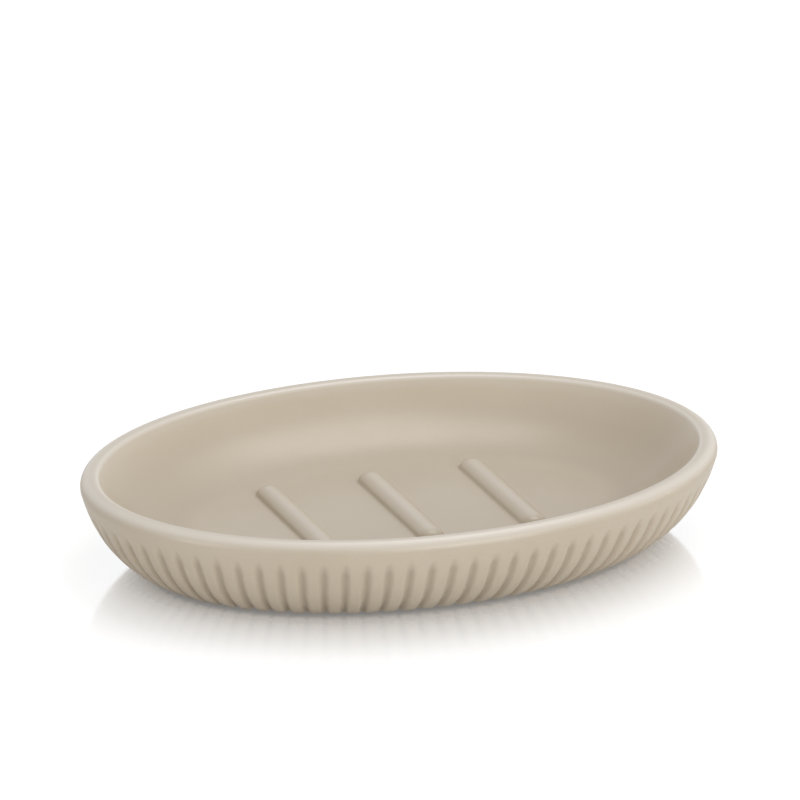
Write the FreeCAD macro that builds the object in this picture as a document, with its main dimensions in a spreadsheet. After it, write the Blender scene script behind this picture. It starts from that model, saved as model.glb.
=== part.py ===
import FreeCAD, Part
import math
import os
import Sketcher

# Oval soap dish: one fired, glazed dish body on four stick-on bumper feet.
# Millimetres. X runs along the dish, Z points up, and the origin is on the table under its middle.
SIZES = {
    # Outline at the rim's sharp corner, before the rim is rounded
    "length": 145.4,
    "width": 105.9,
    "height": 21.9,
    # Height of the foot ring above the table, because the bumper feet stand proud of it
    "stand_off": 0.5,
    # Rim
    "rim_width": 4.5,
    "rim_outer_round": 2.4,
    "rim_inner_round": 0.5,
    # Outside wall: a curve from the rim's corner to the base edge, drawn towards the belly point
    "belly_inset": 2.9,
    "belly_height": 6.6,
    "base_inset": 15.1,
    "base_round": 0.6,
    # Inside: a curve from the rim to the floor's edge, drawn towards the bowl's toe
    "bowl_toe_inset": 13.0,
    "floor_inset": 28.0,
    "floor_thickness": 6.2,
    # Underside
    "foot_width": 5.0,
    "recess_depth": 2.5,
    # Drainage ridges across the floor
    "ridge_count": 3,
    "ridge_spacing": 24.0,
    "ridge_length": 42.0,
    "ridge_width": 6.0,
    "ridge_height": 2.0,
    "ridge_round": 1.5,
    # Flutes around the outside wall
    "flute_count": 82,
    "flute_width": 2.1,
    "flute_depth": 0.8,
    "flute_drop": 6.8,
    # Stick-on bumper feet in the underside recess
    "bumper_diameter": 10.0,
    "bumper_round": 1.2,
    "bumper_clearance": 3.0,
    "bumper_angle": 45.0,
    "adhesive_diameter": 9.0,
    "adhesive_thickness": 0.2,
}

# How many steps a lofted wall takes between its two ends
WALL_STEPS = 4
# How far a flute's tool runs on past the base, as a share of the flute
FLUTE_OVERRUN = 1.3
# How deep a ridge is rooted in the floor, as a share of the floor's thickness
RIDGE_ROOT_SHARE = 0.5
# Points along the rim from which its length is measured
RIM_POINTS = 4000
# How closely two levels, in millimetres, or two radii, as a share, agree to count as the same
SAME_LEVEL = 0.001
SAME_RADIUS = 0.000001

doc = FreeCAD.newDocument("SoapDish")
sheet = doc.addObject("Spreadsheet::Sheet", "Sizes")
for row, (alias, value) in enumerate(SIZES.items(), start=1):
    sheet.set(f"A{row}", alias)
    sheet.set(f"B{row}", str(value))
    sheet.setAlias(f"B{row}", alias)
doc.recompute()


def cell(alias):
    """The expression that reads one size from the sheet."""
    return f"Sizes.{alias}"


def read(alias):
    """The value of one size, as the sheet holds it."""
    return float(sheet.get(alias))


def origin_feature(body, role):
    """One of a body's own origin planes or axes."""
    return next(item for item in body.Origin.OriginFeatures if item.Role == role)


def bezier(share, start, middle, end):
    """The expression for a point of a quadratic curve at a share of its length."""
    first = (1 - share) ** 2
    second = 2 * share * (1 - share)
    third = share ** 2
    return f"{first} * ({start}) + {second} * ({middle}) + {third} * ({end})"


RECESS_TOP = f"({cell('stand_off')} + {cell('recess_depth')})"
FLOOR_LEVEL = f"({RECESS_TOP} + {cell('floor_thickness')})"
RECESS_INSET = f"({cell('base_inset')} + {cell('foot_width')})"


def oval_sketch(body, name, inset, level):
    """An ellipse at a level, drawn in from the rim's corner by an inset."""
    sketch = body.newObject("Sketcher::SketchObject", name)
    sketch.AttachmentSupport = [(origin_feature(body, "XY_Plane"), "")]
    sketch.MapMode = "FlatFace"
    sketch.setExpression("AttachmentOffset.Base.z", level)
    long_radius = read("length") / 2
    short_radius = read("width") / 2
    oval = sketch.addGeometry(Part.Ellipse(FreeCAD.Vector(), long_radius, short_radius))
    sketch.exposeInternalGeometry(oval)
    long_axis = oval + 1
    short_axis = oval + 2
    sketch.addConstraint(Sketcher.Constraint("Coincident", oval, 3, -1, 1))
    sketch.addConstraint(Sketcher.Constraint("Horizontal", long_axis))
    along = sketch.addConstraint(Sketcher.Constraint("Distance", long_axis, 2 * long_radius))
    across = sketch.addConstraint(Sketcher.Constraint("Distance", short_axis, 2 * short_radius))
    sketch.setExpression(f"Constraints[{along}]", f"{cell('length')} - 2 * ({inset})")
    sketch.setExpression(f"Constraints[{across}]", f"{cell('width')} - 2 * ({inset})")
    return sketch


def oval_loft(body, kind, name, insets, levels):
    """A smooth solid, or cut, through ovals whose insets and levels follow two quadratic curves."""
    shares = [step / WALL_STEPS for step in range(WALL_STEPS + 1)]
    ovals = [
        oval_sketch(body, f"{name}Oval{number}", bezier(share, *insets), bezier(share, *levels))
        for number, share in enumerate(shares)
    ]
    loft = body.newObject(kind, name)
    loft.Profile = (ovals[0], [""])
    loft.Sections = [(oval, [""]) for oval in ovals[1:]]
    loft.Ruled = False
    return loft


def level_edge(shape, level, reach):
    """The name of the edge that lies at a level and reaches furthest out to a distance along X."""
    def miss(edge):
        box = edge.BoundBox
        return abs(box.ZMin - level) + abs(box.ZMax - level) + abs(box.XMax - reach)
    edges = shape.Edges
    best = min(range(len(edges)), key=lambda number: miss(edges[number]))
    return f"Edge{best + 1}"


def round_edges(body, name, base, edge_names, radius):
    """A fillet on named edges, its radius bound to a size."""
    fillet = body.newObject("PartDesign::Fillet", name)
    fillet.Base = (base, edge_names)
    fillet.setExpression("Radius", cell(radius))
    doc.recompute()
    return fillet


def make_blank():
    """The dish before its flutes: lofted wall, bowl, underside recess, rounded rim and ridges."""
    body = doc.addObject("PartDesign::Body", "DishBlank")
    wall = oval_loft(
        body, "PartDesign::AdditiveLoft", "Wall",
        (cell("base_inset"), cell("belly_inset"), "0"),
        (cell("stand_off"), cell("belly_height"), cell("height")),
    )
    doc.recompute()
    bowl = oval_loft(
        body, "PartDesign::SubtractiveLoft", "Bowl",
        (cell("floor_inset"), cell("bowl_toe_inset"), cell("rim_width")),
        (FLOOR_LEVEL, FLOOR_LEVEL, cell("height")),
    )
    doc.recompute()

    recess_oval = oval_sketch(body, "RecessOval", RECESS_INSET, cell("stand_off"))
    recess = body.newObject("PartDesign::Pocket", "Recess")
    recess.Profile = (recess_oval, [""])
    recess.Reversed = True
    recess.setExpression("Length", cell("recess_depth"))
    doc.recompute()
    assert recess.Shape.Volume < bowl.Shape.Volume < wall.Shape.Volume

    half_length = read("length") / 2
    edge = level_edge(recess.Shape, read("height"), half_length)
    rim_outside = round_edges(body, "RimOutside", recess, [edge], "rim_outer_round")
    edge = level_edge(rim_outside.Shape, read("height"), half_length - read("rim_width"))
    rim_inside = round_edges(body, "RimInside", rim_outside, [edge], "rim_inner_round")
    edge = level_edge(rim_inside.Shape, read("stand_off"), half_length - read("base_inset"))
    base_edge = round_edges(body, "BaseEdge", rim_inside, [edge], "base_round")

    ridges = make_ridges(body)
    assert ridges.Shape.Volume > base_edge.Shape.Volume
    body.Tip = ridges
    doc.recompute()
    return body


def ridge_sketch(body):
    """The outline of the ridge nearest the +X end, a slot shape that runs across the dish."""
    sketch = body.newObject("Sketcher::SketchObject", "RidgeOutline")
    sketch.AttachmentSupport = [(origin_feature(body, "XY_Plane"), "")]
    sketch.MapMode = "FlatFace"
    root = f"{RIDGE_ROOT_SHARE} * {cell('floor_thickness')}"
    sketch.setExpression("AttachmentOffset.Base.z", f"{FLOOR_LEVEL} - {root}")
    radius = read("ridge_width") / 2
    reach = read("ridge_length") / 2 - radius
    middle = read("ridge_spacing") * (read("ridge_count") - 1) / 2
    up = FreeCAD.Vector(0, 0, 1)
    far_circle = Part.Circle(FreeCAD.Vector(middle, reach, 0), up, radius)
    near_circle = Part.Circle(FreeCAD.Vector(middle, -reach, 0), up, radius)
    far = sketch.addGeometry(Part.ArcOfCircle(far_circle, 0, math.pi))
    near = sketch.addGeometry(Part.ArcOfCircle(near_circle, math.pi, 2 * math.pi))
    left = sketch.addGeometry(Part.LineSegment(
        FreeCAD.Vector(middle - radius, reach, 0), FreeCAD.Vector(middle - radius, -reach, 0)))
    right = sketch.addGeometry(Part.LineSegment(
        FreeCAD.Vector(middle + radius, -reach, 0), FreeCAD.Vector(middle + radius, reach, 0)))
    sketch.addConstraint(Sketcher.Constraint("Tangent", far, 2, left, 1))
    sketch.addConstraint(Sketcher.Constraint("Tangent", left, 2, near, 1))
    sketch.addConstraint(Sketcher.Constraint("Tangent", near, 2, right, 1))
    sketch.addConstraint(Sketcher.Constraint("Tangent", right, 2, far, 1))
    sketch.addConstraint(Sketcher.Constraint("Vertical", left))
    sketch.addConstraint(Sketcher.Constraint("Symmetric", far, 3, near, 3, -1))
    width = sketch.addConstraint(Sketcher.Constraint("Radius", far, radius))
    place = sketch.addConstraint(Sketcher.Constraint("DistanceX", -1, 1, far, 3, middle))
    length = sketch.addConstraint(Sketcher.Constraint("DistanceY", near, 3, far, 3, 2 * reach))
    sketch.setExpression(f"Constraints[{width}]", f"{cell('ridge_width')} / 2")
    sketch.setExpression(
        f"Constraints[{place}]", f"{cell('ridge_spacing')} * ({cell('ridge_count')} - 1) / 2")
    sketch.setExpression(
        f"Constraints[{length}]", f"{cell('ridge_length')} - {cell('ridge_width')}")
    return sketch


def make_ridges(body):
    """Parallel ridges that stand on the floor, rooted in its thickness, with rounded tops."""
    outline = ridge_sketch(body)
    ridge = body.newObject("PartDesign::Pad", "Ridge")
    ridge.Profile = (outline, [""])
    root = f"{RIDGE_ROOT_SHARE} * {cell('floor_thickness')}"
    ridge.setExpression("Length", f"{cell('ridge_height')} + {root}")
    doc.recompute()
    row = body.newObject("PartDesign::LinearPattern", "RidgeRow")
    row.Originals = [ridge]
    row.Direction = (origin_feature(body, "X_Axis"), [""])
    row.Reversed = True
    row.setExpression("Length", f"{cell('ridge_spacing')} * ({cell('ridge_count')} - 1)")
    row.setExpression("Occurrences", cell("ridge_count"))
    body.Tip = row
    doc.recompute()
    floor_level = read("stand_off") + read("recess_depth") + read("floor_thickness")
    top_level = floor_level + read("ridge_height")
    tops = [
        f"Edge{number}" for number, edge in enumerate(row.Shape.Edges, start=1)
        if abs(edge.BoundBox.ZMin - top_level) + abs(edge.BoundBox.ZMax - top_level) < SAME_LEVEL
    ]
    return round_edges(body, "RidgeTops", row, tops, "ridge_round")


def wall_point(share):
    """A point of the outside wall's section, and the way out of the wall there.

    The share is 0 at the rim's corner and 1 at the base. The point is in the section's own plane,
    with X pointing out of the dish from the rim's corner and Z up from the table.
    """
    rim = FreeCAD.Vector(0, 0, read("height"))
    belly = FreeCAD.Vector(-read("belly_inset"), 0, read("belly_height"))
    base = FreeCAD.Vector(-read("base_inset"), 0, read("stand_off"))
    first = rim + (belly - rim) * share
    second = belly + (base - belly) * share
    along = (second - first).normalize()
    return first + (second - first) * share, FreeCAD.Vector(-along.z, 0, along.x)


def wall_share(level):
    """The share of the way down the outside wall at which it passes a level."""
    upper = read("height") - read("belly_height")
    lower = read("belly_height") - read("stand_off")
    drop = read("height") - level
    return drop / (upper + math.sqrt(upper ** 2 - (upper - lower) * drop))


def flute_radius():
    """The radius of a round groove of the flutes' width and depth."""
    depth = read("flute_depth")
    return ((read("flute_width") / 2) ** 2 + depth ** 2) / (2 * depth)


def flute_cutter():
    """One flute's tool, in the plane of the wall's section: a bent round bar with a ball at its top."""
    radius = flute_radius()
    top = wall_share(read("height") - read("flute_drop") - radius)
    points = []
    for share in (top, (top + 1) / 2, 1):
        point, outward = wall_point(share)
        points.append(point + outward * (radius - read("flute_depth")))
    bend = Part.Arc(*points).toShape()
    turn = math.degrees(bend.LastParameter - bend.FirstParameter) * FLUTE_OVERRUN
    tangent = bend.tangentAt(bend.FirstParameter)
    disc = Part.Face(Part.Wire(Part.makeCircle(radius, points[0], tangent)))
    bar = disc.revolve(bend.Curve.Center, bend.Curve.Axis, turn)
    ball = Part.makeSphere(radius, points[0], FreeCAD.Vector(1, 0, 0))
    return bar.fuse(ball)


def rim_angles(count):
    """Angles of points that lie evenly spaced along the rim's oval."""
    long_radius = read("length") / 2
    short_radius = read("width") / 2
    lengths = [0.0]
    for number in range(RIM_POINTS):
        angle = 2 * math.pi * (number + 0.5) / RIM_POINTS
        step = math.hypot(long_radius * math.sin(angle), short_radius * math.cos(angle))
        lengths.append(lengths[-1] + step)
    angles = []
    number = 0
    for place in range(count):
        target = lengths[-1] * place / count
        while lengths[number + 1] < target:
            number += 1
        part = (target - lengths[number]) / (lengths[number + 1] - lengths[number])
        angles.append(2 * math.pi * (number + part) / RIM_POINTS)
    return angles


def make_flutes():
    """The tools of all flutes, each square to the rim's oval."""
    long_radius = read("length") / 2
    short_radius = read("width") / 2
    tool = flute_cutter()
    tools = []
    for angle in rim_angles(int(read("flute_count"))):
        place = FreeCAD.Vector(long_radius * math.cos(angle), short_radius * math.sin(angle), 0)
        facing = math.atan2(long_radius * math.sin(angle), short_radius * math.cos(angle))
        turned = FreeCAD.Rotation(FreeCAD.Vector(0, 0, 1), math.degrees(facing))
        copy = tool.copy()
        copy.Placement = FreeCAD.Placement(place, turned)
        tools.append(copy)
    flutes = doc.addObject("Part::Feature", "Flutes")
    flutes.Shape = Part.makeCompound(tools)
    flutes.Placement = FreeCAD.Placement()
    return flutes


def make_dish():
    """The dish body: the blank with its flutes cut in."""
    dish = doc.addObject("Part::Cut", "Dish")
    dish.Label = "dish_body"
    dish.Base = make_blank()
    dish.Tool = make_flutes()
    doc.recompute()
    grooves = [
        face for face in dish.Shape.Faces
        if isinstance(face.Surface, Part.Toroid)
        and math.isclose(face.Surface.MinorRadius, flute_radius(), rel_tol=SAME_RADIUS)
    ]
    if len(grooves) != int(read("flute_count")):
        raise RuntimeError(f"{len(grooves)} flutes were cut")
    return dish


def foot_place(corner):
    """Expressions for where a foot stands: on an oval inside the recess, clear of the foot ring."""
    inset = f"({RECESS_INSET} + {cell('bumper_clearance')} + {cell('bumper_diameter')} / 2)"
    along = f"{corner[0]} * ({cell('length')} / 2 - {inset}) * cos({cell('bumper_angle')} * 1deg)"
    across = f"{corner[1]} * ({cell('width')} / 2 - {inset}) * sin({cell('bumper_angle')} * 1deg)"
    return along, across


def make_bumper(place, corner):
    """A soft round foot from the table up to its adhesive disc, its lower edge rounded."""
    body = doc.addObject("PartDesign::Body", f"Bumper_{place}")
    body.Label = f"bumper_foot_{place}"
    outline = body.newObject("Sketcher::SketchObject", f"BumperOutline_{place}")
    outline.AttachmentSupport = [(origin_feature(body, "XY_Plane"), "")]
    outline.MapMode = "FlatFace"
    radius = read("bumper_diameter") / 2
    circle = outline.addGeometry(Part.Circle(FreeCAD.Vector(), FreeCAD.Vector(0, 0, 1), radius))
    outline.addConstraint(Sketcher.Constraint("Coincident", circle, 3, -1, 1))
    size = outline.addConstraint(Sketcher.Constraint("Diameter", circle, 2 * radius))
    outline.setExpression(f"Constraints[{size}]", cell("bumper_diameter"))
    pad = body.newObject("PartDesign::Pad", f"BumperPad_{place}")
    pad.Profile = (outline, [""])
    pad.setExpression("Length", f"{RECESS_TOP} - {cell('adhesive_thickness')}")
    doc.recompute()
    edge = level_edge(pad.Shape, 0.0, radius)
    body.Tip = round_edges(body, f"BumperRound_{place}", pad, [edge], "bumper_round")
    along, across = foot_place(corner)
    body.setExpression("Placement.Base.x", along)
    body.setExpression("Placement.Base.y", across)
    return body


def make_adhesive(place, corner):
    """The thin disc that sticks a foot to the recess."""
    disc = doc.addObject("Part::Cylinder", f"Adhesive_{place}")
    disc.Label = f"adhesive_disc_{place}"
    disc.setExpression("Radius", f"{cell('adhesive_diameter')} / 2")
    disc.setExpression("Height", cell("adhesive_thickness"))
    along, across = foot_place(corner)
    disc.setExpression("Placement.Base.x", along)
    disc.setExpression("Placement.Base.y", across)
    disc.setExpression("Placement.Base.z", f"{RECESS_TOP} - {cell('adhesive_thickness')}")
    return disc


CORNERS = {
    "front_left": (-1, -1),
    "front_right": (1, -1),
    "rear_left": (-1, 1),
    "rear_right": (1, 1),
}

pieces = [make_dish()]
for name, sides in CORNERS.items():
    pieces.append(make_bumper(name, sides))
    pieces.append(make_adhesive(name, sides))
doc.recompute()

for item in doc.Objects:
    if {"Invalid", "Error"} & set(item.State):
        raise RuntimeError(f"{item.Label} did not rebuild: {item.State}")
for piece in pieces:
    if piece.Shape.isNull() or not piece.Shape.isValid() or len(piece.Shape.Solids) != 1:
        raise RuntimeError(f"{piece.Label} is not one sound solid")

os.makedirs("parts", exist_ok=True)
for piece in pieces:
    piece.Shape.exportStep(f"parts/{piece.Label}.step")
    box = piece.Shape.BoundBox
    print(piece.Label, round(piece.Shape.Volume, 2), [round(value, 3) for value in (
        box.XMin, box.XMax, box.YMin, box.YMax, box.ZMin, box.ZMax)])
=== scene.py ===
import math

import bpy
import numpy as np
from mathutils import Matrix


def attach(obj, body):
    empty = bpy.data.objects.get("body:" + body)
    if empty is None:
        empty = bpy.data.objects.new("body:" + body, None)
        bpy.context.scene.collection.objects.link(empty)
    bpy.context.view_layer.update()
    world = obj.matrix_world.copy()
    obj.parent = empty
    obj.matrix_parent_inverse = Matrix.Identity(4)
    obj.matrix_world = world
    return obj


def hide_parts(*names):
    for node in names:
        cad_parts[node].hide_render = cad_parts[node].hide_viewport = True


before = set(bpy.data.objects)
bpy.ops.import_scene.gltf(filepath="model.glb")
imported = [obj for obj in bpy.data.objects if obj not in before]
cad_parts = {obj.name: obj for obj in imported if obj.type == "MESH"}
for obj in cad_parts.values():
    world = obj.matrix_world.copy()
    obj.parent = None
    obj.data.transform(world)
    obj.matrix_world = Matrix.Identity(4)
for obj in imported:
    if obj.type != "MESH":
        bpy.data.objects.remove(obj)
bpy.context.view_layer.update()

MM = 0.001

# Dish: plan and section sizes
LENGTH = 145.4 * MM
WIDTH = 105.9 * MM
HEIGHT = 21.9 * MM
STAND_OFF = 0.5 * MM
RIM_WIDTH = 4.5 * MM
RIM_OUTER_ROUND = 2.4 * MM
RIM_CROWN = 0.40 * MM
RIM_INNER_ROUND = 0.5 * MM
BELLY_INSET = 2.9 * MM
BELLY_HEIGHT = 6.6 * MM
BASE_INSET = 15.1 * MM
BASE_ROUND = 0.6 * MM
BOWL_TOE_INSET = 13.0 * MM
FLOOR_INSET = 28.0 * MM
FLOOR_THICKNESS = 6.2 * MM
FOOT_WIDTH = 5.0 * MM
RECESS_DEPTH = 2.5 * MM
RECESS_ROUND = 0.8 * MM
ROOF_LEVEL = STAND_OFF + RECESS_DEPTH
FLOOR_LEVEL = ROOF_LEVEL + FLOOR_THICKNESS
SOLE_DEPTH = 0.05 * MM

# Ridges on the floor
RIDGE_COUNT = 3
RIDGE_SPACING = 24.0 * MM
RIDGE_LENGTH = 42.0 * MM
RIDGE_WIDTH = 6.0 * MM
RIDGE_HEIGHT = 2.0 * MM
RIDGE_FULLNESS = 2.2
RIDGE_FOOT = 0.35 * MM
RIDGE_FOOT_START = 0.86
RIDGE_FILLET = 0.5 * MM

# Flutes on the wall, softened by the glaze, and the ribs between them
FLUTE_COUNT = 82
FLUTE_WIDTH = 2.3 * MM
FLUTE_SPILL = 1.15
FLUTE_DEPTH = 0.75 * MM
FLUTE_DROP = 7.6 * MM
FLUTE_START = 3.0 * MM
FLUTE_TOP_SHARE = 0.45
FLUTE_CLOSING = 0.55
FLUTE_CLOSING_RUN = 2.2 * MM
FLUTE_FADE = 2.0 * MM
RIB_CROWN = 0.18 * MM
RIB_CREST = 0.46 * MM

# Painted highlight on the rim and the ridges' crests, partly paler glaze where it thins over them
FLAT_HIGHLIGHT = 0.6
OUTER_HIGHLIGHT_FULL = 0.4
OUTER_HIGHLIGHT_END = 0.6
OUTER_HIGHLIGHT_FADE = 2.0 * MM
INNER_HIGHLIGHT_START = 0.4
INNER_HIGHLIGHT_FULL = 0.7
INNER_HIGHLIGHT_FADE = 0.8 * MM
INNER_HIGHLIGHT_REACH = 3.5 * MM
INNER_HIGHLIGHT_SLOW = 0.3
RIDGE_HIGHLIGHT = 0.45
RIDGE_HIGHLIGHT_POWER = 14

# Painted shade on the bowl's wall, most at the two ends
BOWL_SHADE = 0.24
BOWL_END_SHADE = 1.0
BOWL_SHADE_START = 0.05
BOWL_SHADE_FULL = 0.4
BOWL_SHADE_FADING = 0.75

# Mesh fineness
COLUMNS_PER_FLUTE = 12
WALL_ROWS = 44
BOWL_ROWS = 40
FLOOR_LINES = 150
LINES_PER_RIDGE = 41
FLOOR_STEPS = 160
ROUND_ROWS = 8
CROWN_ROWS = 10
UNDERSIDE_ROWS = 8
ARC_SAMPLES = 8000
ARC_MARGIN = 1.15
WALL_TANGENT_ROWS = 3
LIP_TANGENT_ROWS = 2


def bezier(start, pull, end, count):
    """Points of a quadratic curve in the section plane."""
    share = np.linspace(0, 1, count)[:, None]
    start, pull, end = map(np.array, (start, pull, end))
    return (1 - share) ** 2 * start + 2 * share * (1 - share) * pull + share**2 * end


def unit(vector):
    """The vector at length one."""
    return vector / np.linalg.norm(vector)


def smooth(low, high, value):
    """Eases from 0 at low to 1 at high."""
    share = np.clip((value - low) / (high - low), 0, 1)
    return share * share * (3 - 2 * share)


def round_corner(before, corner, after, radius, rows):
    """Points of the arc that rounds a corner, from the side of before to the side of after."""
    before, corner, after = map(np.array, (before, corner, after))
    back = unit(before - corner)
    ahead = unit(after - corner)
    half = math.acos(np.clip(back @ ahead, -1, 1)) / 2
    centre = corner + unit(back + ahead) * radius / math.sin(half)
    first = corner + back * radius / math.tan(half) - centre
    last = corner + ahead * radius / math.tan(half) - centre
    turn = math.pi - 2 * half
    share = np.linspace(0, 1, rows)[:, None]
    arc = np.sin((1 - share) * turn) * first + np.sin(share * turn) * last
    return centre + arc / math.sin(turn)


def beyond(points, corner, arc_end):
    """The points that lie clear of the arc that rounds a corner."""
    reach = np.linalg.norm(arc_end - np.array(corner)) * ARC_MARGIN
    return points[np.linalg.norm(points - np.array(corner), axis=1) > reach]


def outside_section():
    """Rows of (inset, height) from the rim's crest, down the wall, across the foot and into the recess."""
    rim = (0, HEIGHT)
    base = (BASE_INSET, STAND_OFF)
    foot = (BASE_INSET + FOOT_WIDTH, STAND_OFF)
    roof = (BASE_INSET + FOOT_WIDTH, ROOF_LEVEL)
    roof_inward = (BASE_INSET + FOOT_WIDTH * 2, ROOF_LEVEL)
    wall = bezier(rim, (BELLY_INSET, BELLY_HEIGHT), base, WALL_ROWS)
    top = round_corner((RIM_WIDTH, HEIGHT), rim, wall[WALL_TANGENT_ROWS], RIM_OUTER_ROUND, ROUND_ROWS)
    edge = round_corner(wall[-1 - WALL_TANGENT_ROWS], base, foot, BASE_ROUND, ROUND_ROWS)
    wall = beyond(wall, rim, top[-1])
    wall = beyond(wall, base, edge[0])
    lip = round_corner(base, foot, roof, RECESS_ROUND, ROUND_ROWS)
    inner = round_corner(foot, roof, roof_inward, RECESS_ROUND, ROUND_ROWS)
    sole = np.linspace(edge[-1], lip[0], UNDERSIDE_ROWS)[1:-1]
    return np.concatenate([top, wall, edge, sole, lip, inner])


def inside_section():
    """Rows of (inset, height) from beside the rim's crest, down its inward fall and the bowl's wall."""
    rim = (RIM_WIDTH, HEIGHT - RIM_CROWN)
    crest = outside_section()[0]
    bowl = bezier(rim, (BOWL_TOE_INSET, FLOOR_LEVEL), (FLOOR_INSET, FLOOR_LEVEL), BOWL_ROWS)
    top = bezier(crest, ((crest[0] + RIM_WIDTH) / 2, HEIGHT), rim, CROWN_ROWS)
    before, after = top[-1 - LIP_TANGENT_ROWS], bowl[LIP_TANGENT_ROWS]
    lip = round_corner(before, rim, after, RIM_INNER_ROUND, ROUND_ROWS)
    top = beyond(top, rim, lip[0])
    bowl = beyond(bowl, rim, lip[-1])
    return np.concatenate([top[1:], lip, bowl])


def rim_columns(count):
    """Rim points and outward normals at equal steps along the rim oval, and the oval's perimeter."""
    half_length, half_width = LENGTH / 2, WIDTH / 2
    angle = np.linspace(0, 2 * math.pi, ARC_SAMPLES)
    steps = np.hypot(np.diff(half_length * np.cos(angle)), np.diff(half_width * np.sin(angle)))
    length = np.concatenate([[0], np.cumsum(steps)])
    angle = np.interp(np.arange(count) * length[-1] / count, length, angle)
    points = np.stack([half_length * np.cos(angle), half_width * np.sin(angle)], axis=1)
    normals = np.stack([np.cos(angle) / half_length, np.sin(angle) / half_width], axis=1)
    return points, normals / np.linalg.norm(normals, axis=1)[:, None], length[-1]


def ring_points(points, normals, inset):
    """Plan points where lines square to the rim meet the oval at an inset (rows by columns)."""
    long_axis, short_axis = LENGTH / 2 - inset, WIDTH / 2 - inset
    square = (normals[:, 0] / long_axis) ** 2 + (normals[:, 1] / short_axis) ** 2
    cross = points[:, 0] * normals[:, 0] / long_axis**2 + points[:, 1] * normals[:, 1] / short_axis**2
    rest = (points[:, 0] / long_axis) ** 2 + (points[:, 1] / short_axis) ** 2 - 1
    travel = (cross - np.sqrt(np.maximum(cross**2 - square * rest, 0))) / square
    return points[:, 0] - travel * normals[:, 0], points[:, 1] - travel * normals[:, 1]


def outward(section):
    """Outward unit normals of section rows, in the section plane."""
    ahead = np.gradient(section, axis=0)
    normals = np.stack([ahead[:, 1], -ahead[:, 0]], axis=1)
    return normals / np.linalg.norm(normals, axis=1)[:, None]


def section_run(section):
    """Length along a section up to each of its rows."""
    return np.concatenate([[0], np.cumsum(np.linalg.norm(np.diff(section, axis=0), axis=1))])


def flute_depths(section, count, perimeter):
    """Depth of the flutes, and of the fall from the ribs' crests, at each row and column.

    The flutes have round, shallow tops, get shallower at the foot of the wall and fade out under the base.
    """
    run = section_run(section)
    pitch = perimeter / FLUTE_COUNT
    across = np.arange(count) * perimeter / count
    across = np.abs((across + pitch / 2) % pitch - pitch / 2)
    above = np.maximum(FLUTE_DROP - run, 0)[:, None]
    away = np.hypot(across[None, :], above)
    starting = smooth(0, FLUTE_START, run - FLUTE_DROP)[:, None]
    groove = FLUTE_DEPTH * (1 - smooth(0, FLUTE_WIDTH / 2 * FLUTE_SPILL, away))
    groove = groove * (FLUTE_TOP_SHARE + (1 - FLUTE_TOP_SHARE) * starting)
    crown = RIB_CROWN * smooth(RIB_CREST, pitch / 2, pitch / 2 - across)[None, :]
    crown = crown * smooth(0, FLUTE_WIDTH, run - FLUTE_DROP)[:, None]
    base_run = run[np.argmin(np.linalg.norm(section - np.array((BASE_INSET, STAND_OFF)), axis=1))]
    closing = 1 - FLUTE_CLOSING * smooth(base_run - FLUTE_CLOSING_RUN, base_run, run)[:, None]
    fade = 1 - smooth(base_run, base_run + FLUTE_FADE, run)[:, None]
    return (groove + crown) * fade * closing


def ridge_middles():
    """Places of the ridges along the dish."""
    return [(number - (RIDGE_COUNT - 1) / 2) * RIDGE_SPACING for number in range(RIDGE_COUNT)]


def ridge_lift(x, y):
    """Height of the half-round ridges above the floor, with a small fillet at their feet."""
    lift = np.zeros_like(x)
    half = RIDGE_WIDTH / 2
    reach = RIDGE_LENGTH / 2 - half
    for middle in ridge_middles():
        away = np.hypot(x - middle, np.maximum(np.abs(y) - reach, 0)) / half
        fall = np.minimum(away, 1) ** RIDGE_FULLNESS
        dome = RIDGE_HEIGHT * np.maximum(1 - fall, 0) ** (1 / RIDGE_FULLNESS)
        foot = RIDGE_FOOT * (1 - smooth(RIDGE_FOOT_START, 1 + RIDGE_FILLET / half, away))
        lift = np.maximum(lift, np.maximum(dome, foot))
    return lift


def floor_lines(long_axis):
    """Places along the floor of its grid lines: even in angle, and close together across each ridge."""
    even = long_axis * np.cos(np.linspace(0, math.pi, FLOOR_LINES + 1))[1:-1]
    half = RIDGE_WIDTH / 2 + RIDGE_FILLET
    across = half * np.sin(np.linspace(-math.pi / 2, math.pi / 2, LINES_PER_RIDGE))
    for middle in ridge_middles():
        even = even[np.abs(even - middle) > half + RIDGE_FILLET]
        even = np.concatenate([even, middle + across])
    return np.sort(even)[::-1]


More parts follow.
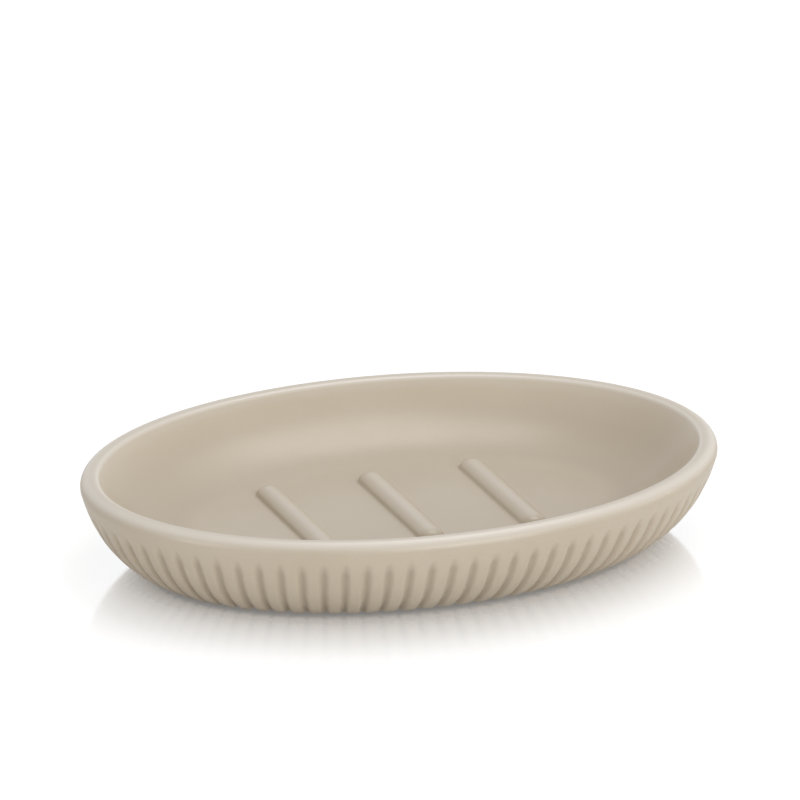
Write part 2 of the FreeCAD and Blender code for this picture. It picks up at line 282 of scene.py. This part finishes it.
def outer_surface():
    """Vertices of the rim's outer edge, the wall and the underside, ring by ring, with angles and paint.

    Paint gives each vertex its painted shade in the flutes, partly pooled glaze, its bare clay, and its
    painted highlight on the rim, partly thinner glaze.
    """
    count = FLUTE_COUNT * COLUMNS_PER_FLUTE
    points, normals, perimeter = rim_columns(count)
    section = outside_section()
    depth = flute_depths(section, count, perimeter)
    facing = outward(section)
    inset = section[:, :1] - depth * facing[:, :1]
    level = section[:, 1:] - depth * facing[:, 1:]
    x, y = ring_points(points, normals, inset)
    vertices = np.stack([x, y, level], axis=2).reshape(-1, 3)
    angles = np.arctan2(points[:, 1] * LENGTH, points[:, 0] * WIDTH) % (2 * math.pi)
    bare = (np.abs(level - STAND_OFF) < SOLE_DEPTH).astype(float)
    run = section_run(section)
    # Painted highlight over the rim's top and outer rounding, fading down the wall, partly paler thin
    # glaze
    full = RIM_OUTER_ROUND * OUTER_HIGHLIGHT_FULL
    end = RIM_OUTER_ROUND * OUTER_HIGHLIGHT_END
    edge = FLAT_HIGHLIGHT + (1 - FLAT_HIGHLIGHT) * smooth(0, full, run)
    edge = edge * (1 - smooth(end, end + OUTER_HIGHLIGHT_FADE, run))
    # Painted shade in the flutes, deepest in their grooves, partly pooled glaze
    pool_and_shade = depth / FLUTE_DEPTH
    paint = {"pool_and_shade": pool_and_shade.reshape(-1), "bare": bare.reshape(-1), "edge": np.repeat(edge, count)}
    return vertices, angles, paint


def inner_surface():
    """Vertices of the rim's top and the bowl, ring by ring, and of the floor, line by line.

    Also gives the rings' angles, the paint, and the number of rings and of floor lines.
    """
    section = inside_section()
    long_axis, short_axis = LENGTH / 2 - FLOOR_INSET, WIDTH / 2 - FLOOR_INSET
    lines = floor_lines(long_axis)
    half_turn = np.arccos(lines / long_axis)
    angles = np.concatenate([[0], half_turn, [math.pi], 2 * math.pi - half_turn[::-1]])
    x = (LENGTH / 2 - section[:, :1]) * np.cos(angles)
    y = (WIDTH / 2 - section[:, :1]) * np.sin(angles)
    level = np.broadcast_to(section[:, 1:], x.shape)
    bowl = np.stack([x, y, level], axis=2).reshape(-1, 3)
    share = np.linspace(1, -1, FLOOR_STEPS + 1)[1:-1]
    x = np.repeat(lines[:, None], len(share), axis=1)
    y = short_axis * np.sin(half_turn)[:, None] * share
    floor = np.stack([x, y, np.full_like(x, FLOOR_LEVEL)], axis=2).reshape(-1, 3)
    vertices = np.concatenate([bowl, floor])
    lift = ridge_lift(vertices[:, 0], vertices[:, 1])
    vertices[:, 2] = np.maximum(vertices[:, 2], FLOOR_LEVEL + lift)
    return vertices, angles, inner_paint(section, angles, len(floor), lift), len(section), len(lines)


def inner_paint(section, angles, floor_points, lift):
    """Paint of the inside: painted highlight on the rim and the ridges' crests, partly paler thin glaze,
    and painted shade on the bowl's wall.
    """
    run = section_run(section)
    lip = RIM_WIDTH - section[0, 0]
    # Painted highlight on the rim's top and inner lip, partly thinner glaze, fading down the bowl's wall
    lip_highlight = smooth(lip * INNER_HIGHLIGHT_START, lip * INNER_HIGHLIGHT_FULL, run)
    sharp = 1 - smooth(lip, lip + INNER_HIGHLIGHT_FADE, run)
    slow = 1 - smooth(lip, lip + INNER_HIGHLIGHT_REACH, run)
    edge = FLAT_HIGHLIGHT + (1 - FLAT_HIGHLIGHT) * lip_highlight
    edge = edge * (sharp + INNER_HIGHLIGHT_SLOW * (slow - sharp))
    edge = np.concatenate([np.repeat(edge, len(angles)), np.zeros(floor_points)])
    # Painted highlight along the ridges' crests, partly thinner glaze
    edge = np.maximum(edge, RIDGE_HIGHLIGHT * (lift / RIDGE_HEIGHT) ** RIDGE_HIGHLIGHT_POWER)
    # Painted shade on the bowl's lower wall, strongest at the two ends
    down = run / run[-1]
    pool_and_shade = smooth(BOWL_SHADE_START, BOWL_SHADE_FULL, down) * (1 - smooth(BOWL_SHADE_FADING, 1, down))
    pool_and_shade = pool_and_shade[:, None] * (BOWL_SHADE + (BOWL_END_SHADE - BOWL_SHADE) * np.cos(angles) ** 2)
    pool_and_shade = np.concatenate([pool_and_shade.reshape(-1), np.zeros(floor_points)])
    return {"pool_and_shade": pool_and_shade, "bare": np.zeros(len(lift)), "edge": edge}


def ring_faces(first, rows, columns):
    """Quads between successive rings of vertices."""
    column = np.arange(columns)
    following = (column + 1) % columns
    faces = []
    for row in range(rows - 1):
        here = first + row * columns
        below = here + columns
        corners = [here + column, below + column, below + following, here + following]
        faces.append(np.stack(corners, axis=1))
    return np.concatenate(faces).tolist()


def zip_rings(first, first_angles, second, second_angles):
    """Triangles between two rings of vertices with different spacing, both starting at angle zero."""
    faces = []
    i = j = 0
    ahead_i = np.append(first_angles, 2 * math.pi)
    ahead_j = np.append(second_angles, 2 * math.pi)
    count_i, count_j = len(first_angles), len(second_angles)
    while i < count_i or j < count_j:
        here_i, here_j = first + i % count_i, second + j % count_j
        if j == count_j or (i < count_i and ahead_i[i + 1] <= ahead_j[j + 1]):
            i += 1
            faces.append((here_i, first + i % count_i, here_j))
        else:
            j += 1
            faces.append((here_i, second + j % count_j, here_j))
    return faces


def floor_faces(first, rows, columns, lines):
    """Faces between the floor's grid lines, which end on the lowest ring of the bowl."""
    ring = first + (rows - 1) * columns
    inside = first + rows * columns
    faces = []
    before = [ring] * (FLOOR_STEPS + 1)
    for line in range(lines + 1):
        if line == lines:
            here = [ring + lines + 1] * (FLOOR_STEPS + 1)
        else:
            own = inside + line * (FLOOR_STEPS - 1)
            here = [ring + line + 1, *range(own, own + FLOOR_STEPS - 1), ring + columns - 1 - line]
        for step in range(FLOOR_STEPS):
            corners = (before[step], here[step], here[step + 1], before[step + 1])
            faces.append(tuple(dict.fromkeys(corners)))
        before = here
    return faces


def dish_mesh():
    """The whole dish as one closed surface, with its paint as point attributes."""
    outer, outer_angles, outer_paint = outer_surface()
    inner, inner_angles, paint_inside, inner_rows, lines = inner_surface()
    outer_columns, inner_columns = len(outer_angles), len(inner_angles)
    outer_rows = len(outer) // outer_columns
    roof_middle = (0, 0, ROOF_LEVEL)
    vertices = np.concatenate([outer, inner, [roof_middle]])
    inner_first = len(outer)
    faces = ring_faces(0, outer_rows, outer_columns)
    faces += [face[::-1] for face in ring_faces(inner_first, inner_rows, inner_columns)]
    faces += zip_rings(0, outer_angles, inner_first, inner_angles)
    faces += floor_faces(inner_first, inner_rows, inner_columns, lines)
    last = (outer_rows - 1) * outer_columns
    roof = len(vertices) - 1
    faces += [(last + (j + 1) % outer_columns, last + j, roof) for j in range(outer_columns)]

    mesh = bpy.data.meshes.new("dish")
    mesh.from_pydata(vertices.tolist(), [], faces)
    mesh.shade_smooth()
    for name, values in outer_paint.items():
        whole = np.concatenate([values, paint_inside[name], [0]])
        layer = mesh.attributes.new(name=name, type="FLOAT", domain="POINT")
        layer.data.foreach_set("value", whole.astype(np.float32))
    mesh.update()
    return mesh


# Noise: the part of its values that is spread over a range, and its octaves
NOISE_SPAN = (0.3, 0.7)
FULL_SPAN = (0.0, 1.0)
SOFT_DETAIL = 1.0
PLAIN_DETAIL = 2.0
RICH_DETAIL = 3.0
STREAK_DETAIL = 4.0


def new_material(name):
    """A material, its node tree, its principled shader and its object coordinates."""
    material = bpy.data.materials.new(name)
    material.use_nodes = True
    tree = material.node_tree
    tree.nodes.clear()
    shader = tree.nodes.new("ShaderNodeBsdfPrincipled")
    output = tree.nodes.new("ShaderNodeOutputMaterial")
    tree.links.new(shader.outputs["BSDF"], output.inputs["Surface"])
    place = tree.nodes.new("ShaderNodeTexCoord")
    return material, tree, shader, place.outputs["Object"]


def noise(tree, place, scale, detail):
    """A noise value, with its scale in cycles per metre."""
    texture = tree.nodes.new("ShaderNodeTexNoise")
    texture.inputs["Scale"].default_value = scale
    texture.inputs["Detail"].default_value = detail
    tree.links.new(place, texture.inputs["Vector"])
    return texture.outputs["Fac"]


def spread(tree, value, onto, span=NOISE_SPAN):
    """Maps a span of values onto a range."""
    mapped = tree.nodes.new("ShaderNodeMapRange")
    mapped.inputs["From Min"].default_value, mapped.inputs["From Max"].default_value = span
    mapped.inputs["To Min"].default_value, mapped.inputs["To Max"].default_value = onto
    tree.links.new(value, mapped.inputs["Value"])
    return mapped.outputs["Result"]


def set_or_link(tree, socket, value):
    """Gives a socket a number, a colour or another node's output."""
    if isinstance(value, float):
        socket.default_value = value
    elif isinstance(value, tuple):
        socket.default_value = (*value, 1)
    else:
        tree.links.new(value, socket)


def mix(tree, kind, share, first, second):
    """Mixes two values or colours, kind being VALUE or RGBA."""
    mixed = tree.nodes.new("ShaderNodeMix")
    mixed.data_type = "FLOAT" if kind == "VALUE" else kind
    tree.links.new(share, mixed.inputs["Factor"])
    for name, value in (("A", first), ("B", second)):
        sockets = [socket for socket in mixed.inputs if socket.name == name and socket.type == kind]
        set_or_link(tree, sockets[0], value)
    return [socket for socket in mixed.outputs if socket.type == kind][0]


def calculate(tree, operation, first, second):
    """Works out one number from two."""
    node = tree.nodes.new("ShaderNodeMath")
    node.operation = operation
    for socket, value in zip(node.inputs, (first, second)):
        set_or_link(tree, socket, value)
    return node.outputs["Value"]


def attribute(tree, name):
    """A point attribute of the mesh."""
    read = tree.nodes.new("ShaderNodeAttribute")
    read.attribute_name = name
    return read.outputs["Fac"]


def bump(tree, shader, height, distance, strength):
    """Bends the shader's normal by a height."""
    raised = tree.nodes.new("ShaderNodeBump")
    raised.inputs["Distance"].default_value = distance
    raised.inputs["Strength"].default_value = strength
    tree.links.new(height, raised.inputs["Height"])
    tree.links.new(raised.outputs["Normal"], shader.inputs["Normal"])


# Glaze, with colours in linear light
GLAZE_PALE = (0.568, 0.490, 0.382)
GLAZE_DEEP = (0.543, 0.462, 0.356)
# Painted shade colour for the flutes and the bowl's wall, partly pooled glaze in the flutes
GLAZE_POOLED_AND_SHADED = (0.440, 0.366, 0.276)
GLAZE_SPECK = (0.600, 0.535, 0.440)
# Painted highlight colour for the rim and the ridges' crests, partly paler thin glaze
GLAZE_BREAK_HIGHLIGHT = (0.710, 0.650, 0.570)
BARE_CLAY = (0.640, 0.560, 0.450)
DRIFT_SCALE = 38.0
SPECK_SCALE = 2400.0
SPECK_SPAN = (0.55, 0.75)
SPECK_STRENGTH = (0.0, 0.35)
# How far the painted shade darkens the glaze
POOL_AND_SHADE_SPAN = (0.1, 1.0)
POOL_AND_SHADE_STRENGTH = (0.0, 0.55)
SATIN_SCALE = 120.0
SATIN_ROUGHNESS = (0.29, 0.34)
CLAY_ROUGHNESS = 0.9
GLAZE_IOR = 1.5
GLAZE_WAVE_SCALE = 90.0
GLAZE_WAVE_HEIGHT = 0.10 * MM
GLAZE_WAVE_STRENGTH = 0.10


def glaze_material():
    """Satin greige glaze: drifting tone, painted shade in the flutes and on the bowl, partly pooled glaze,
    painted highlight on edges, partly thinner glaze, bare clay under the foot.
    """
    material, tree, shader, place = new_material("satin_glaze")
    drift = spread(tree, noise(tree, place, DRIFT_SCALE, RICH_DETAIL), FULL_SPAN)
    colour = mix(tree, "RGBA", drift, GLAZE_PALE, GLAZE_DEEP)
    speck = spread(tree, noise(tree, place, SPECK_SCALE, SOFT_DETAIL), SPECK_STRENGTH, SPECK_SPAN)
    colour = mix(tree, "RGBA", speck, colour, GLAZE_SPECK)
    # Painted shade in the flutes and on the bowl's wall, partly pooled glaze
    pool_and_shade_mix = spread(tree, attribute(tree, "pool_and_shade"), POOL_AND_SHADE_STRENGTH, POOL_AND_SHADE_SPAN)
    colour = mix(tree, "RGBA", pool_and_shade_mix, colour, GLAZE_POOLED_AND_SHADED)
    # Painted highlight on the rim and the ridges' crests, partly paler thin glaze
    colour = mix(tree, "RGBA", attribute(tree, "edge"), colour, GLAZE_BREAK_HIGHLIGHT)
    bare = attribute(tree, "bare")
    colour = mix(tree, "RGBA", bare, colour, BARE_CLAY)
    tree.links.new(colour, shader.inputs["Base Color"])
    satin = spread(tree, noise(tree, place, SATIN_SCALE, RICH_DETAIL), SATIN_ROUGHNESS)
    tree.links.new(mix(tree, "VALUE", bare, satin, CLAY_ROUGHNESS), shader.inputs["Roughness"])
    wave = noise(tree, place, GLAZE_WAVE_SCALE, SOFT_DETAIL)
    bump(tree, shader, wave, GLAZE_WAVE_HEIGHT, GLAZE_WAVE_STRENGTH)
    shader.inputs["IOR"].default_value = GLAZE_IOR
    return material


# Bumper feet and adhesive discs
BUMPER_DARK = (0.60, 0.60, 0.58)
BUMPER_PALE = (0.70, 0.70, 0.68)
BUMPER_CLOUD_SCALE = 400.0
BUMPER_SHEEN_SCALE = 900.0
BUMPER_ROUGHNESS = (0.42, 0.55)
BUMPER_GRAIN_SCALE = 1800.0
BUMPER_GRAIN_HEIGHT = 0.03 * MM
BUMPER_GRAIN_STRENGTH = 0.2
ADHESIVE_PALE = (0.80, 0.79, 0.74)
ADHESIVE_DARK = (0.72, 0.71, 0.66)
ADHESIVE_STREAK_SCALE = 700.0
ADHESIVE_SHEEN_SCALE = 1200.0
ADHESIVE_ROUGHNESS = (0.25, 0.4)


def bumper_material():
    """Soft grey elastomer, a little cloudy."""
    material, tree, shader, place = new_material("bumper_elastomer")
    cloud = spread(tree, noise(tree, place, BUMPER_CLOUD_SCALE, RICH_DETAIL), FULL_SPAN)
    tree.links.new(mix(tree, "RGBA", cloud, BUMPER_DARK, BUMPER_PALE), shader.inputs["Base Color"])
    sheen = spread(tree, noise(tree, place, BUMPER_SHEEN_SCALE, PLAIN_DETAIL), BUMPER_ROUGHNESS)
    tree.links.new(sheen, shader.inputs["Roughness"])
    grain = noise(tree, place, BUMPER_GRAIN_SCALE, PLAIN_DETAIL)
    bump(tree, shader, grain, BUMPER_GRAIN_HEIGHT, BUMPER_GRAIN_STRENGTH)
    return material


def adhesive_material():
    """Thin pale film with faint streaks."""
    material, tree, shader, place = new_material("adhesive_film")
    streak = spread(tree, noise(tree, place, ADHESIVE_STREAK_SCALE, STREAK_DETAIL), FULL_SPAN)
    tree.links.new(mix(tree, "RGBA", streak, ADHESIVE_PALE, ADHESIVE_DARK), shader.inputs["Base Color"])
    sheen = spread(tree, noise(tree, place, ADHESIVE_SHEEN_SCALE, PLAIN_DETAIL), ADHESIVE_ROUGHNESS)
    tree.links.new(sheen, shader.inputs["Roughness"])
    return material


def make_dish():
    """The glazed dish, in place of its plainer solid."""
    dish = bpy.data.objects.new("dish", dish_mesh())
    bpy.context.scene.collection.objects.link(dish)
    dish.data.materials.append(glaze_material())
    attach(dish, "root")
    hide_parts("dish_body")


def dress_feet():
    """Finishes for the pieces that keep their CAD shape."""
    finishes = {"bumper_foot": bumper_material(), "adhesive_disc": adhesive_material()}
    for name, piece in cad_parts.items():
        for start, material in finishes.items():
            if name.startswith(start):
                piece.data.materials.clear()
                piece.data.materials.append(material)


# Camera, from the photograph's perspective, with its angles in radians
IMAGE_PIXELS = 800
FOCAL_PIXELS = 9500.0
SENSOR = 36.0
CAMERA_PLACE = (-699.867 * MM, -1821.610 * MM, 750.575 * MM)
CAMERA_PAN = 0.366759
CAMERA_TILT = -0.351620
CAMERA_NEAR = 10 * MM


def make_camera():
    """The camera at the photograph's viewing angle."""
    camera = bpy.data.cameras.new("camera")
    camera.sensor_width = SENSOR
    camera.lens = SENSOR * FOCAL_PIXELS / IMAGE_PIXELS
    camera.clip_start = CAMERA_NEAR
    holder = bpy.data.objects.new("camera", camera)
    holder.location = CAMERA_PLACE
    holder.rotation_euler = (math.pi / 2 + CAMERA_TILT, 0, -CAMERA_PAN)
    bpy.context.scene.collection.objects.link(holder)
    bpy.context.scene.camera = holder


# Studio: lamp places and sizes in metres, power in watts
WORLD_LIGHT = 0.47
WORLD_SEEN = 1.0
FLOOR_SIZE = 6.0
FLOOR_DROP = 0.02 * MM
FLOOR_MATT = 0.40
FLOOR_LIFT = 0.76
FLOOR_BOUNCE = 0.95
MIRROR_TINT = (0.97, 0.985, 1.0)
MIRROR_SHARE = 0.78
MIRROR_REACH = 110.0 * MM
MIRROR_FADE = 6.5
MIRROR_ROUGHNESS = 0.11
SOFTBOXES = {
    "key": dict(place=(0.32, 0.22, 1.12), size=(0.70, 0.70), power=4.5),
    "front": dict(place=(0.28, -1.10, 0.34), size=(0.80, 0.60), power=4.7),
    "left": dict(place=(-1.05, -0.40, 0.16), size=(0.50, 0.24), power=1.6),
    "right": dict(place=(1.05, -0.30, 0.16), size=(0.50, 0.24), power=0.7),
}


def make_world():
    """White for what is seen and mirrored, and an even soft light for everything else."""
    world = bpy.data.worlds.new("studio")
    bpy.context.scene.world = world
    world.use_nodes = True
    tree = world.node_tree
    path = tree.nodes.new("ShaderNodeLightPath")
    seen = path.outputs["Is Camera Ray"]
    for ray in ("Is Glossy Ray", "Is Transmission Ray"):
        seen = calculate(tree, "MAXIMUM", seen, path.outputs[ray])
    background = tree.nodes["Background"]
    background.inputs["Color"].default_value = (1, 1, 1, 1)
    strength = spread(tree, seen, (WORLD_LIGHT, WORLD_SEEN), FULL_SPAN)
    tree.links.new(strength, background.inputs["Strength"])


def matt_shader(tree, tone):
    """A matt grey surface."""
    shader = tree.nodes.new("ShaderNodeBsdfDiffuse")
    shader.inputs["Color"].default_value = (tone, tone, tone, 1)
    return shader.outputs["BSDF"]


def mix_shaders(tree, share, first, second):
    """The first shader where the share is 0, the second where it is 1."""
    mixed = tree.nodes.new("ShaderNodeMixShader")
    tree.links.new(share, mixed.inputs["Fac"])
    tree.links.new(first, mixed.inputs[1])
    tree.links.new(second, mixed.inputs[2])
    return mixed.outputs["Shader"]


def vector_length(tree, vector):
    """Length of a vector."""
    node = tree.nodes.new("ShaderNodeVectorMath")
    node.operation = "LENGTH"
    tree.links.new(vector, node.inputs[0])
    return node.outputs["Value"]


def distance_from_base(tree):
    """Distance of a floor point from the dish's base oval, along the line from the dish's middle."""
    place = tree.nodes.new("ShaderNodeTexCoord").outputs["Object"]
    in_ovals = tree.nodes.new("ShaderNodeVectorMath")
    in_ovals.operation = "MULTIPLY"
    in_ovals.inputs[1].default_value = (1 / (LENGTH / 2 - BASE_INSET), 1 / (WIDTH / 2 - BASE_INSET), 0)
    tree.links.new(place, in_ovals.inputs[0])
    from_middle = vector_length(tree, place)
    to_base = calculate(tree, "DIVIDE", from_middle, vector_length(tree, in_ovals.outputs["Vector"]))
    return calculate(tree, "SUBTRACT", from_middle, to_base)


def floor_white(tree, seen):
    """White to the camera with a light shadow, and a bright matt surface to all other rays."""
    glow = tree.nodes.new("ShaderNodeEmission")
    glow.inputs["Strength"].default_value = FLOOR_LIFT
    lit = tree.nodes.new("ShaderNodeAddShader")
    tree.links.new(matt_shader(tree, FLOOR_MATT), lit.inputs[0])
    tree.links.new(glow.outputs["Emission"], lit.inputs[1])
    return mix_shaders(tree, seen, matt_shader(tree, FLOOR_BOUNCE), lit.outputs["Shader"])


def floor_mirror(tree):
    """A slightly blurred mirror."""
    mirror = tree.nodes.new("ShaderNodeBsdfGlossy")
    mirror.inputs["Color"].default_value = (*MIRROR_TINT, 1)
    mirror.inputs["Roughness"].default_value = MIRROR_ROUGHNESS
    return mirror.outputs["BSDF"]


def floor_material():
    """Pale gloss surface, clear from below, whose mirror image fades with distance from the dish."""
    material = bpy.data.materials.new("pale_floor")
    material.use_nodes = True
    tree = material.node_tree
    tree.nodes.clear()
    seen = tree.nodes.new("ShaderNodeLightPath").outputs["Is Camera Ray"]
    near = spread(tree, distance_from_base(tree), FULL_SPAN, (MIRROR_REACH, 0.0))
    fading = calculate(tree, "POWER", near, MIRROR_FADE)
    share = calculate(tree, "MULTIPLY", calculate(tree, "MULTIPLY", fading, MIRROR_SHARE), seen)
    gloss = mix_shaders(tree, share, floor_white(tree, seen), floor_mirror(tree))
    below = tree.nodes.new("ShaderNodeNewGeometry").outputs["Backfacing"]
    clear = tree.nodes.new("ShaderNodeBsdfTransparent").outputs["BSDF"]
    output = tree.nodes.new("ShaderNodeOutputMaterial")
    tree.links.new(mix_shaders(tree, below, gloss, clear), output.inputs["Surface"])
    return material


def make_floor():
    """The pale floor, just under the bumper feet."""
    half = FLOOR_SIZE / 2
    corners = [(x * half, y * half, -FLOOR_DROP) for x, y in ((-1, -1), (1, -1), (1, 1), (-1, 1))]
    mesh = bpy.data.meshes.new("floor")
    mesh.from_pydata(corners, [], [(0, 1, 2, 3)])
    mesh.materials.append(floor_material())
    floor = bpy.data.objects.new("floor", mesh)
    bpy.context.scene.collection.objects.link(floor)


def make_softboxes():
    """Lamps that face the dish."""
    for name, box in SOFTBOXES.items():
        lamp = bpy.data.lights.new(name + "_softbox", "AREA")
        lamp.shape = "RECTANGLE"
        lamp.size, lamp.size_y = box["size"]
        lamp.energy = box["power"]
        holder = bpy.data.objects.new(name + "_softbox", lamp)
        holder.location = box["place"]
        holder.rotation_euler = (-holder.location).to_track_quat("-Z", "Y").to_euler()
        bpy.context.scene.collection.objects.link(holder)


make_dish()
dress_feet()
make_camera()
make_world()
make_floor()
make_softboxes()
bpy.context.scene.view_settings.view_transform = "Standard"
